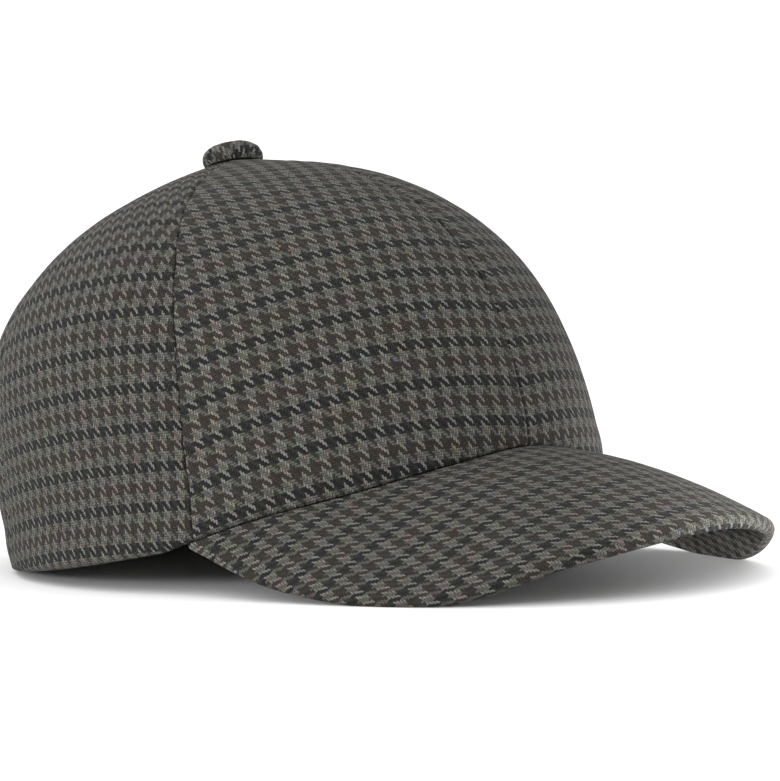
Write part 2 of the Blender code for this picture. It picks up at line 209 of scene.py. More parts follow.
class CapStage(bpy.types.PropertyGroup):
    """Camera, floor and light."""

    azimuth: FloatProperty(
        name="Camera azimuth", description="Side that the camera sees, from the front of the crown",
        default=math.radians(-42.62), subtype="ANGLE")
    elevation: FloatProperty(
        name="Camera elevation", description="Height of the camera above the plane of the rim",
        default=math.radians(-5.78), subtype="ANGLE")
    roll: FloatProperty(
        name="Camera roll", description="Turn of the picture against the crown",
        default=math.radians(-8.81), subtype="ANGLE")
    distance: FloatProperty(
        name="Camera distance", description="From the camera to the point it looks at",
        default=0.70, min=0.2, max=5.0, unit="LENGTH")
    aim: FloatVectorProperty(
        name="Camera aim", description="The point it looks at, in the cap's own frame",
        default=(50.05 * MM, 5.53 * MM, 44.97 * MM), size=3, subtype="TRANSLATION")
    lens: FloatProperty(
        name="Lens", description="Focal length for a sensor 36 mm wide, in millimetres",
        default=98.24, min=10.0, max=400.0)
    floor_colour: FloatVectorProperty(
        name="Floor", description="Colour of the floor and backdrop", subtype="COLOR", size=3,
        default=(0.92, 0.92, 0.92), min=0.0, max=1.0)
    front_power: FloatProperty(
        name="Front light", description="Power of the low wide lamp behind the camera",
        default=2.8, min=0.0, unit="POWER")
    side_power: FloatProperty(
        name="Side light", description="Power of the lamp beside the cap",
        default=6.0, min=0.0, unit="POWER")
    reflector_power: FloatProperty(
        name="Reflector", description="Power of the low lamp that lights the peak's far end from below",
        default=70.0, min=0.0, unit="POWER")
    sky: FloatProperty(
        name="Sky", description="Strength of the even light all round", default=1.4, min=0.0)


# The cap's own frame.


def skin_middle(node):
    """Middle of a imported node's skin, each face counted by its area."""
    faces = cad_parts[node].data.polygons
    return sum((f.center * f.area for f in faces), Vector()) / sum(f.area for f in faces)


def cap_frame():
    """The turn and shift that take the cap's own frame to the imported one."""
    axis = (skin_middle("button") - skin_middle("button_washer")).normalized()
    top = max((v.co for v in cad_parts["button"].data.vertices), key=lambda co: co.dot(axis))
    turn = Matrix.Rotation(-math.atan2(axis.y, axis.z), 3, "X")
    shift = top - turn @ Vector((0.0, APEX_SETBACK, CROWN_HEIGHT + BUTTON_HEIGHT))
    return np.array(turn), np.array(shift)


TURN, SHIFT = cap_frame()


def placed(points):
    """Points of the cap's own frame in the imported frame, pressed flat where they meet the floor."""
    points = np.asarray(points) @ TURN.T + SHIFT
    points[..., 2] = np.maximum(points[..., 2], 0.0)
    return points


def ease(share):
    """A soft step from 0 to 1."""
    share = np.clip(share, 0.0, 1.0)
    return share * share * (3.0 - 2.0 * share)


def read_peak(values, share):
    """A value along one half of the peak, on a smooth curve through its chosen places."""
    x = np.array(PEAK_SHARES)
    y = np.array(values)
    slope = np.zeros(len(x))
    slope[1:-1] = (y[2:] - y[:-2]) / (x[2:] - x[:-2])
    slope[-1] = (y[-1] - y[-2]) / (x[-1] - x[-2])
    share = np.clip(np.abs(share), 0.0, 1.0)
    i = np.clip(np.searchsorted(x, share, side="right") - 1, 0, len(x) - 2)
    span = x[i + 1] - x[i]
    q = (share - x[i]) / span
    start = y[i] * (1 + 2 * q) * (1 - q) ** 2 + slope[i] * span * q * (1 - q) ** 2
    return start + y[i + 1] * q * q * (3 - 2 * q) - slope[i + 1] * span * q * q * (1 - q)


def rim_plan(azimuth):
    """The rim's x and y."""
    fullness = 1.0 + RIM_FRONT_FULLNESS * np.cos(azimuth)
    return RIM_HALF_WIDTH * np.sin(azimuth) * fullness, -RIM_HALF_LENGTH * np.cos(azimuth)


def rim_height(azimuth):
    """The rim's height: the join with the peak in front, a step, then the open rim."""
    turned = np.abs(azimuth)
    level = math.cos(RIM_RISE_AZIMUTH)
    toward_back = np.maximum(level - np.cos(turned), 0.0) / (1.0 + level)
    open_rim = (RIM_BACK_RISE + RIM_SIDE_DIP) * toward_back ** 2 - RIM_SIDE_DIP
    step = ease((turned - PEAK_END_AZIMUTH) / RIM_STEP_ANGLE)
    after = open_rim + (PEAK_LIFT * PEAK_JOIN[-1] - open_rim) * (1.0 - step)
    before = PEAK_LIFT * read_peak(PEAK_JOIN, turned / PEAK_END_AZIMUTH)
    return np.where(turned <= PEAK_END_AZIMUTH, before, after)


def rim_bearing(azimuth):
    """The rim's distance and direction from the crown's axis."""
    x, y = rim_plan(azimuth)
    return np.hypot(x, APEX_SETBACK - y), np.arctan2(x, APEX_SETBACK - y)


def crown_line(azimuth, rise, puff=0.0):
    """Distance from the crown's axis and height of the outer cloth, from rim 0 to apex 1."""
    facing = np.cos(azimuth)
    front = np.maximum(facing, 0.0) ** 2
    back = np.maximum(-facing, 0.0) ** 2
    side = 1.0 - front - back
    swell, swell_height, reach = (
        front * f + side * s + back * b
        for f, s, b in zip(CLIMBS["front"], CLIMBS["side"], CLIMBS["back"]))
    reach = reach * RIM_HALF_WIDTH
    left = 1.0 - rise
    weights = (left ** 3, 3 * rise * left ** 2, 3 * rise ** 2 * left, rise ** 3)
    rim = rim_bearing(azimuth)[0]
    radii = (rim, rim + swell * RIM_HALF_WIDTH, reach, 0.0)
    heights = (rim_height(azimuth), swell_height * CROWN_HEIGHT,
               CROWN_HEIGHT - reach * math.tan(APEX_SLOPE), CROWN_HEIGHT)
    radius = sum(w * r for w, r in zip(weights, radii)) + 4.0 * puff * rise * left
    return radius, sum(w * h for w, h in zip(weights, heights))


def crown_place(bearing, radius, height):
    """The point at a direction and distance from the crown's axis."""
    x, y = np.sin(bearing) * radius, APEX_SETBACK - np.cos(bearing) * radius
    return np.stack(np.broadcast_arrays(x, y, height), axis=-1)


# Meshes.


def uneven(points, scale, seed):
    """Smooth chance unevenness from -1 to 1 at each point."""
    shift = Vector((seed * 7.3, seed * 3.1, seed * 5.7))
    flat = np.asarray(points).reshape(-1, 3) / scale
    values = [noise.noise(Vector(p) + shift) for p in flat]
    return np.array(values).reshape(np.shape(points)[:-1])


def closed_faces(columns, loop):
    """Quads round each closed loop, from one column to the next."""
    faces = []
    for c in range(columns - 1):
        for k in range(loop):
            n = (k + 1) % loop
            faces.append((c * loop + k, c * loop + n, (c + 1) * loop + n, (c + 1) * loop + k))
    return faces


def cap_faces(base, pairs, sole):
    """Fills an end loop: quads between paired outer and inner points, then its sole."""
    faces = []
    for (a, b), (c, d) in zip(pairs, pairs[1:]):
        faces.append((base + a, base + c, base + d, base + b))
    if sole:
        faces.append(tuple(base + k for k in sole))
    return faces


def add_piece(name, points, faces, cloth, material, replaces):
    """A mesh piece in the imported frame, with its places on the flat cloth, riding on the cap."""
    mesh = bpy.data.meshes.new(name)
    mesh.from_pydata([tuple(p) for p in placed(points)], [], faces)
    place = mesh.attributes.new("cloth", "FLOAT_VECTOR", "POINT")
    place.data.foreach_set("vector", np.asarray(cloth, float).ravel())
    work = bmesh.new()
    work.from_mesh(mesh)
    bmesh.ops.recalc_face_normals(work, faces=work.faces)
    work.to_mesh(mesh)
    work.free()
    mesh.shade_smooth()
    mesh.set_sharp_from_angle(angle=math.radians(70.0))
    mesh.materials.append(material)
    piece = bpy.data.objects.new(name, mesh)
    bpy.context.scene.collection.objects.link(piece)
    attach(piece, "root")
    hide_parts(*replaces)
    return piece


# Shader maths.


class Value:
    """A socket that adds Math nodes when it is used in an expression."""

    def __init__(self, wool, socket):
        self.wool = wool
        self.socket = socket

    def math(self, operation, *others):
        return self.wool.number("ShaderNodeMath", {"operation": operation}, (self, *others))

    def __add__(self, other):
        return self.math("ADD", other)

    def __sub__(self, other):
        return self.math("SUBTRACT", other)

    def __rsub__(self, other):
        return self.wool.number("ShaderNodeMath", {"operation": "SUBTRACT"}, (other, self))

    def __mul__(self, other):
        return self.math("MULTIPLY", other)

    def __truediv__(self, other):
        return self.math("DIVIDE", other)

    def __mod__(self, other):
        return self.math("FLOORED_MODULO", other)

    def __pow__(self, other):
        return self.math("POWER", other)

    def __lt__(self, other):
        return self.math("LESS_THAN", other)

    __radd__ = __add__
    __rmul__ = __mul__

    def floor(self):
        return self.math("FLOOR")

    def clamp(self):
        return self.wool.number("ShaderNodeClamp", None, (self,))


class Wool:
    """Builds one material's nodes."""

    def __init__(self, name):
        self.material = bpy.data.materials.new(name)
        self.material.use_nodes = True
        self.tree = self.material.node_tree
        self.shader = self.tree.nodes["Principled BSDF"]

    def node(self, kind, settings=None, sockets=None):
        """A node of a kind, with its settings first and then its sockets' values or links."""
        made = self.tree.nodes.new(kind)
        for key, value in (settings or {}).items():
            setattr(made, key, value)
        items = sockets.items() if isinstance(sockets, dict) else enumerate(sockets or ())
        for key, value in items:
            self.feed(made.inputs[key], value)
        return made

    def feed(self, socket, value):
        if isinstance(value, Value):
            self.tree.links.new(value.socket, socket)
        elif hasattr(value, "is_output"):
            self.tree.links.new(value, socket)
        else:
            socket.default_value = value

    def number(self, kind, settings=None, sockets=None, output=0):
        return Value(self, self.node(kind, settings, sockets).outputs[output])

    def mix(self, share, first, second):
        """A colour between two colours."""
        made = self.node("ShaderNodeMix", {"data_type": "RGBA"})
        self.feed(made.inputs[0], share)
        for slot, colour in ((6, first), (7, second)):
            self.feed(made.inputs[slot], (*colour, 1.0) if isinstance(colour, tuple) else colour)
        return made.outputs[2]

    def vector(self, operation, *terms):
        """A Vector Math node's vector."""
        made = self.node("ShaderNodeVectorMath", {"operation": operation})
        for socket, term in zip(made.inputs, terms):
            self.feed(socket, term)
        return made.outputs[0]

    def scaled(self, colour, factor):
        """A colour made lighter or darker by a factor."""
        made = self.node("ShaderNodeVectorMath", {"operation": "SCALE"})
        self.feed(made.inputs[0], colour)
        self.feed(made.inputs["Scale"], factor)
        return made.outputs[0]

    def speckle(self, place, scales, detail=2.0, roughness=0.6):
        """Noise from 0 to 1 with its own scale along each direction of the cloth."""
        stretched = self.node("ShaderNodeVectorMath", {"operation": "MULTIPLY"}, (place, scales))
        return self.number("ShaderNodeTexNoise", {"noise_dimensions": "3D"}, {
            "Vector": stretched.outputs[0], "Scale": 1.0, "Detail": detail, "Roughness": roughness})


# Threads of the weave, and how fine its fibres, twist and shades are along the cloth's directions.
CHECK_THREADS = 8.0
TWILL_THREADS = 4.0
SWAY_FINENESS = 520.0
WARP_FIBRES = (6000.0, 1300.0, 900.0)
WEFT_FIBRES = (1300.0, 6000.0, 900.0)
HANKS = (260.0, 260.0, 90.0)
NAP = (2600.0, 2600.0, 900.0)
TINT_FINENESS = 380.0
NEP_FINENESS = 100.0
NEP_SIZE = 0.035
TICK_LEAN = 0.55
TICK_GAIN = 0.12
WARP_TAPER = 0.35
TICK_TAPER = 0.05


def checked_wool(name, cloth, painted_light_gain=1.0):
    """Houndstooth in a two over two twill, four dark and four light threads each way.

    The dark rows turn by turn are blue black and brown. The warp is thinner than the weft, so
    the rows show more than the columns and the light warp crosses the dark rows as fine ticks.
    """
    wool = Wool(name)
    place = wool.node("ShaderNodeAttribute", {"attribute_type": "GEOMETRY", "attribute_name": "cloth"})
    place = place.outputs["Vector"]
    drift = wool.node("ShaderNodeTexNoise", {"noise_dimensions": "3D"}, {
        "Vector": place, "Scale": SWAY_FINENESS, "Detail": 3.0})
    woven = wool.vector("MULTIPLY_ADD", drift.outputs["Color"], (cloth.sway,) * 3, place)
    parts = wool.node("ShaderNodeSeparateXYZ", None, (woven,))
    across = Value(wool, parts.outputs[0]) / (cloth.check_width / CHECK_THREADS)
    along = Value(wool, parts.outputs[1]) / (cloth.check_height / CHECK_THREADS)
    warp, weft = across.floor(), along.floor()
    warp_share, weft_share = across - warp, along - weft
    step = (warp + weft) % TWILL_THREADS
    warp_up = step < TWILL_THREADS / 2
    warp_run = (step % 2.0 + weft_share) / 2.0
    weft_run = (step % 2.0 + warp_share) / 2.0

    warp_fibre = wool.speckle(place, WARP_FIBRES, detail=3.0)
    weft_fibre = wool.speckle(place, WEFT_FIBRES, detail=3.0)
    hank = wool.speckle(place, HANKS, detail=3.0)
    nap = wool.speckle(place, NAP, detail=3.0, roughness=0.7)

    # Light warp ends lean and so join to one slanting line where they cross a dark row.
    warp_is_dark = (warp % CHECK_THREADS) < CHECK_THREADS / 2
    weft_is_dark = (weft % CHECK_THREADS) < CHECK_THREADS / 2
    leaning = (1.0 - warp_is_dark) * weft_is_dark
    off_middle = (warp_share * 2.0 - 1.0 + (warp_run * 2.0 - 1.0) * leaning * TICK_LEAN).math("ABSOLUTE")
    cover = cloth.light_cover + warp_is_dark * (cloth.dark_cover - cloth.light_cover) + leaning * TICK_GAIN
    taper = WARP_TAPER - leaning * (WARP_TAPER - TICK_TAPER)
    slim = cover - (warp_run * 2.0 - 1.0) ** 2.0 * taper + (weft_fibre - 0.5) * 1.1
    seen = warp_up * ((slim - off_middle) * 4.0 + 0.5).clamp()
    under = warp_up - seen

    light, pale = tuple(cloth.light), tuple(cloth.tick)
    dark_weft = wool.mix((weft % (2 * CHECK_THREADS)) < CHECK_THREADS, tuple(cloth.brown), tuple(cloth.navy))
    warp_colour = wool.mix(warp_is_dark, pale, tuple(cloth.warp_dark))
    weft_colour = wool.mix(weft_is_dark, light, dark_weft)
    colour = wool.mix(seen, weft_colour, warp_colour)

    fibre = seen * warp_fibre + (1.0 - seen) * weft_fibre
    warp_hump = 1.0 - off_middle ** 2.0
    weft_hump = 1.0 - (weft_share * 2.0 - 1.0) ** 2.0
    weft_end = 1.0 - (weft_run * 2.0 - 1.0) ** 2.0
    hump = seen * warp_hump + (1.0 - seen) * weft_hump * (0.7 + weft_end * 0.3)
    # Painted shade of the weave's relief: each thread is painted lighter on its crown and darker towards its
    # sides and ends, and the weft that shows beside a raised warp thread is painted darker as its shadow.
    # The fibre and hank noise add the yarn's own uneven tone.
    yarn_tone_and_thread_shade = (0.5 + hump * 0.68 - under * 0.14) * (fibre * 2.0) ** 1.6 * (0.7 + hank * 0.6)
    # The piece's factor then paints the whole cloth lighter wherever it is above 1: painted light on a
    # lighter copy of the same wool.
    colour = wool.scaled(colour, yarn_tone_and_thread_shade * painted_light_gain)
    tint = wool.node("ShaderNodeTexNoise", {"noise_dimensions": "3D"}, {
        "Vector": place, "Scale": TINT_FINENESS, "Detail": 2.0, "Roughness": 0.6})
    tint = wool.vector("MULTIPLY_ADD", tint.outputs["Color"], (0.5, 0.45, 0.55), (0.75, 0.775, 0.725))
    colour = wool.vector("MULTIPLY", colour, tint)
    colour = wool.mix((nap ** 6.0 * cloth.haze).clamp(), colour, light)
    nep = wool.node("ShaderNodeTexVoronoi", None, {"Vector": place, "Scale": NEP_FINENESS})
    nep_colour = wool.vector("MULTIPLY_ADD", nep.outputs["Color"], (0.15, 0.15, 0.3), (0.05, 0.05, 0.05))
    colour = wool.mix(Value(wool, nep.outputs["Distance"]) < NEP_SIZE, colour, nep_colour)
    wool.feed(wool.shader.inputs["Base Color"], colour)
    wool.feed(wool.shader.inputs["Roughness"], 0.86 + fibre * 0.12)
    height = hump * 0.7 + seen * 0.3 + fibre * 0.5 + nap * 0.5
    bump = wool.node("ShaderNodeBump", None, {"Strength": 0.9, "Distance": cloth.relief, "Height": height})
    wool.feed(wool.shader.inputs["Normal"], bump.outputs[0])
    wool.shader.inputs["Specular IOR Level"].default_value = 0.12
    wool.shader.inputs["Sheen Weight"].default_value = 0.03
    wool.shader.inputs["Sheen Roughness"].default_value = 0.45
    return wool.material


def washer_metal(name):
    """Plain dull metal with a faint brushed grain."""
    metal = Wool(name)
    place = metal.node("ShaderNodeTexCoord").outputs["Object"]
    grain = metal.speckle(place, (900.0, 9000.0, 900.0))
    metal.feed(metal.shader.inputs["Base Color"], metal.mix(grain, (0.24, 0.23, 0.21), (0.34, 0.33, 0.31)))
    metal.feed(metal.shader.inputs["Roughness"], 0.36 + grain * 0.2)
    metal.shader.inputs["Metallic"].default_value = 1.0
    return metal.material


# Panels.


# Divisions of a panel. The edge steps are the places of the columns that crowd towards a seam,
# and take no more of the panel's width than the edge share.
EDGE_STEPS = np.array((0.0, 0.1, 0.3, 0.6, 0.95, 1.5, 2.4, 3.6, 5.0)) * MM
EDGE_SHARE = 0.36
MIDDLE_COLUMNS = 46
CROWN_ROWS = 118
ROW_CROWDING = 0.97
FINE_RISES = 401
FINE_AZIMUTHS = 61
SLOPE_STEP = 0.001
SOLE_TURNS = np.radians(np.linspace(0.0, 180.0, 13))[1:-1]


def panel_columns(first, last, wide):
    """Azimuths of the columns, crowded towards both seams, for a panel that is wide metres wide."""
    edge = EDGE_STEPS * min(1.0, EDGE_SHARE * wide / EDGE_STEPS[-1]) / wide
    middle = np.linspace(edge[-1], 1.0 - edge[-1], MIDDLE_COLUMNS + 2)[1:-1]
    return first + (last - first) * np.concatenate([edge, middle, 1.0 - edge[::-1]])


def panel_grid(first, last):
    """Places, distances and lengths of a panel's outer and inner cloth."""
    mid = (first + last) / 2
    fine = np.linspace(0.0, 1.0, FINE_RISES)
    columns = 2 * len(EDGE_STEPS) + MIDDLE_COLUMNS
    fine_azimuths = np.linspace(first, last, FINE_AZIMUTHS)
    radius, height = crown_line(fine_azimuths[:, None], fine[None, :])
    steps = np.hypot(np.diff(radius, axis=1), np.diff(height, axis=1))
    lengths = np.concatenate([np.zeros((len(fine_azimuths), 1)), steps.cumsum(axis=1)], axis=1)
    tops = np.array([np.interp(-APEX_HOLE_RADIUS, -r, fine) for r in radius])
    rows = np.linspace(0.0, 1.0, CROWN_ROWS) ** ROW_CROWDING
    rises = np.empty((len(fine_azimuths), CROWN_ROWS))
    row_lengths = np.empty_like(rises)
    for i in range(len(fine_azimuths)):
        top_length = np.interp(tops[i], fine, lengths[i])
        row_lengths[i] = HEM_WALL / 2 + (top_length - HEM_WALL / 2) * rows
        rises[i] = np.interp(row_lengths[i], lengths[i], fine)
    result = {key: np.empty((columns, CROWN_ROWS)) for key in ("azimuth", "rise", "length")}
    order = np.argsort(fine_azimuths)
    for k in range(CROWN_ROWS):
        row_radius = crown_line(np.array([mid]), rises[len(fine_azimuths) // 2, k])[0][0]
        wide = abs(last - first) * row_radius
        azimuths = panel_columns(first, last, wide)
        result["azimuth"][:, k] = azimuths
        result["rise"][:, k] = np.interp(azimuths, fine_azimuths[order], rises[order, k])
        result["length"][:, k] = np.interp(azimuths, fine_azimuths[order], row_lengths[order, k])
    return result


def build_panel(place, side, first, last, shape, material, seed):
    """One gore of the crown, with its hem turned up inside."""
    grid = panel_grid(first, last)
    azimuth, rise, length = grid["azimuth"], grid["rise"], grid["length"]
    share = (azimuth - first) / (last - first)
    puff = PANEL_PUFF * (1.0 - np.abs(2.0 * share - 1.0) ** PUFF_SHARPNESS)
    radius, height = crown_line(azimuth, rise, puff)
    low = crown_line(azimuth, np.maximum(rise - SLOPE_STEP, 0.0), puff)
    high = crown_line(azimuth, np.minimum(rise + SLOPE_STEP, 1.0), puff)
    slope = np.stack([high[0] - low[0], high[1] - low[1]])
    slope /= np.hypot(*slope)
    out = np.stack([slope[1], -slope[0]])
    bearing = rim_bearing(azimuth)[1]
    mid_bearing = rim_bearing(np.array((first + last) / 2))[1]
    seam_bearings = rim_bearing(np.array((first, last)))[1]
    to_seam = radius * np.min([np.abs(bearing - seam) for seam in seam_bearings], axis=0)

    # Where the cloth lies on its flat gore.
    cloth = PANEL_CLOTH[place]
    closing = np.clip(-slope[0], 0.02, 1.0)
    away = bearing - mid_bearing
    sideways = radius / closing * np.sin(closing * away)
    front_seam, rear_seam = (first, last) if abs(first) < abs(last) else (last, first)
    q = 2.0 * (azimuth - rear_seam) / (front_seam - rear_seam) - 1.0
    fall = cloth["droop"] * (q - cloth["crest"]) ** 2 * np.minimum(radius / FULL_DROOP_RADIUS, 1.0)
    up_cloth = length + rim_height(azimuth) + fall - cloth["row"]
    up_cloth += bpy.context.scene.cap_cloth.check_height / 4

    # Fine forms: rounded into the seams, dipped beside them, puckered, and rolled at the hem.
    rounding = np.minimum(shape.seam_rounding, radius * abs(last - first) * 0.2)
    inside = np.clip(1.0 - to_seam / rounding, 0.0, 1.0)
    lift = -rounding * (1.0 - np.sqrt(1.0 - inside ** 2 * 0.97))
    sunk = np.exp(-((to_seam / shape.seam_reach) ** 2))
    lift -= shape.seam_sink * sunk * ease(radius / SINK_FULL_RADIUS)
    base = crown_place(bearing, radius, height)
    gathers = np.stack([sideways * 0.3, up_cloth * 2.0, np.full_like(up_cloth, seed)], -1)
    lift += shape.pucker * uneven(gathers, PUCKER_SIZE, seed) * np.exp(-to_seam / PUCKER_REACH) * 2.0
    soft = uneven(base, RIPPLE_SIZE, seed) + 0.4 * uneven(base, SMALL_RIPPLE_SIZE, seed + 1)
    lift += shape.ripple * soft * ease(to_seam / RIPPLE_START)
    hem = np.clip(length / HEM_ROLL_HEIGHT, 0.0, 1.0)
    lift += shape.hem_roll * np.sin(np.pi * hem) ** 2

    # Both panels of a seam stray sideways alike. Their inner walls overlap a little, so no light
    # comes through.
    clear = np.arcsin(np.clip(SEAM_GAP / 2 / radius, 0.0, 1.0))
    clear *= (1.0 - 2.0 * share) * np.sign(last - first)
    strays = np.zeros_like(clear)
    for seam, near in ((first, 1.0 - share), (last, share)):
        along_seam = np.stack([height, height * 0, height * 0 + abs(seam)], -1)
        waver = uneven(along_seam, WAVER_SIZE, 3) * shape.waver
        strays += waver / np.maximum(radius, WAVER_LEAST_RADIUS) * near ** 12
    wall = np.where(length < HEM_HEIGHT, HEM_WALL,
                    HEM_WALL + (CLOTH_WALL - HEM_WALL) * ease((length - HEM_HEIGHT) / HEM_STEP))
    outer = crown_place(bearing + strays + clear, radius + out[0] * lift, height + out[1] * lift)
    inner = crown_place(bearing + strays - clear, radius - out[0] * wall, height - out[1] * wall)

    # The fold at the lower edge joins both in a half round.
    middle = (outer[:, 0] + inner[:, 0]) / 2
    across = (inner[:, 0] - outer[:, 0]) / 2
    half = np.linalg.norm(across, axis=1, keepdims=True)
    down = middle.copy()
    down[:, 2] = rim_height(azimuth[:, 0])
    down = down - middle
    sole = np.stack([middle + across * math.cos(t) + down * math.sin(t) for t in SOLE_TURNS], axis=1)
    loop = np.concatenate([outer, inner[:, ::-1], sole], axis=1)
    fold = up_cloth[:, :1] - half * np.sin(SOLE_TURNS)
    flat_up = np.concatenate([up_cloth, up_cloth[:, ::-1], fold], axis=1)
    fold_side = np.repeat(sideways[:, :1], len(SOLE_TURNS), axis=1)
    flat_side = np.concatenate([sideways, sideways[:, ::-1], fold_side], axis=1)
    flat = np.stack([flat_side, flat_up, np.full_like(flat_up, seed * 0.01)], axis=-1)

    columns, count = loop.shape[:2]
    faces = closed_faces(columns, count)
    pairs = [(k, 2 * CROWN_ROWS - 1 - k) for k in range(CROWN_ROWS)]
    rest = [0, *range(count - 1, 2 * CROWN_ROWS - 2, -1)]
    faces += cap_faces(0, pairs, rest)
    faces += cap_faces((columns - 1) * count, pairs, rest)
    node = f"panel_{place}_{side}"
    piece = add_piece(f"{node}_cloth", loop.reshape(-1, 3), faces, flat.reshape(-1, 3), material,
                      [node])
    wide = abs(first - last) * RIM_HALF_LENGTH
    tall = float(length.max())
    skin = grid_area(outer)
    min(skin, wide * tall)
    return piece


def grid_area(points):
    """Area of a grid of points, from its quads' diagonals."""
    a = points[1:, 1:] - points[:-1, :-1]
    b = points[1:, :-1] - points[:-1, 1:]
    return float(np.linalg.norm(np.cross(a, b), axis=-1).sum() / 2)


class CAP_OT_panels(bpy.types.Operator):
    """Build the six gores of the crown"""

    bl_idname = "cap.panels"
    bl_label = "Build the crown's panels"

    def execute(self, context):
        wool = checked_wool("crown_wool", context.scene.cap_cloth)
        seams = {"front": (0.0, SIDE_SEAM_AZIMUTH), "side": (SIDE_SEAM_AZIMUTH, REAR_SEAM_AZIMUTH),
                 "back": (REAR_SEAM_AZIMUTH, math.pi)}
        seed = 1
        for place, (near, far) in seams.items():
            for side, sign in (("left", 1.0), ("right", -1.0)):
                build_panel(place, side, sign * near, sign * far, context.scene.cap_shape, wool, seed)
                seed += 1
        return {"FINISHED"}


# Peak.


PEAK_COLUMNS = 181
PEAK_REACHES = np.linspace(0.0, 1.0, 40)[1:-1]
ROLL_ENDS = {False: math.radians(150.0), True: math.radians(27.0)}
ROLL_STEPS = 13
PEAK_SLOPE_STEP = 0.01
COLUMN_CROWDING = 1.15
TIP_START = 0.93
TIP_THINNING = 0.6
SWELL_SIZE = 24 * MM
SWELL_HEIGHT = 0.12 * MM
SMALL_SWELL_SIZE = 8 * MM
SMALL_SWELL_HEIGHT = 0.05 * MM
SWELL_START = 0.15


def peak_outline(share):
    """The x and y of the peak's free edge, from its right end -1 to its left end 1."""
    end_x, end_y = rim_plan(np.array(PEAK_END_AZIMUTH))
    turn = np.abs(share) * math.pi / 2
    x = end_x * np.sin(turn) + PEAK_FULLNESS * np.sin(2 * turn)
    tip = -(RIM_HALF_LENGTH + PEAK_LENGTH)
    y = end_y + (tip - end_y) * np.maximum(np.cos(turn), 0.0) ** PEAK_POINTEDNESS
    return np.copysign(x, share), y


def peak_face(share, reach):
    """A point on the peak's upper face, from the join 0 to the free edge 1."""
    share, reach = np.broadcast_arrays(share, reach)
    azimuth = share * PEAK_END_AZIMUTH
    radius, bearing = rim_bearing(azimuth)
    join = crown_place(bearing, radius, rim_height(azimuth) - CLEARANCE)
    x, y = peak_outline(share)
    edge = np.stack([x, y, -PEAK_DROP * read_peak(PEAK_EDGE, share)], axis=-1)
    point = join + (edge - join) * reach[..., None]
    point[..., 2] += PEAK_CAMBER * 4.0 * reach * (1.0 - reach) * (1.0 - share * share)
    return point


def peak_up(share, reach, distance):
    """Upright at the join, square to the face further out."""
    step = PEAK_SLOPE_STEP
    outward = peak_face(share, reach) - peak_face(share, reach - step)
    across = peak_face(np.minimum(share + step, 1.0), reach)
    across = across - peak_face(np.maximum(share - step, -1.0), reach)
    square = np.cross(outward, across)
    square /= np.linalg.norm(square, axis=-1, keepdims=True)
    upright = np.array((0.0, 0.0, 1.0))
    up = upright + (square - upright) * ease(distance / PEAK_UPRIGHT_REACH)[..., None]
    return up / np.linalg.norm(up, axis=-1, keepdims=True)


def peak_cloth(points):
    """Where the peak's cloth lies flat. Its rows fall back towards the sides of the peak."""
    x = points[..., 0] / MM
    ahead = (PEAK_MIDDLE - points[..., 1]) / MM
    side = x * (ACROSS_STRETCH + ACROSS_WIDENING * x ** 2 - ACROSS_NARROWING_AHEAD * ahead)
    forward = ahead * (AHEAD_STRETCH + AHEAD_WIDENING * ahead + AHEAD_WIDENING_AT_SIDES * x ** 2)
    forward = forward + ROW_BEND * x ** 2 + ROW_BEND_AT_SIDES * x ** 4
    return side * MM, -forward * MM


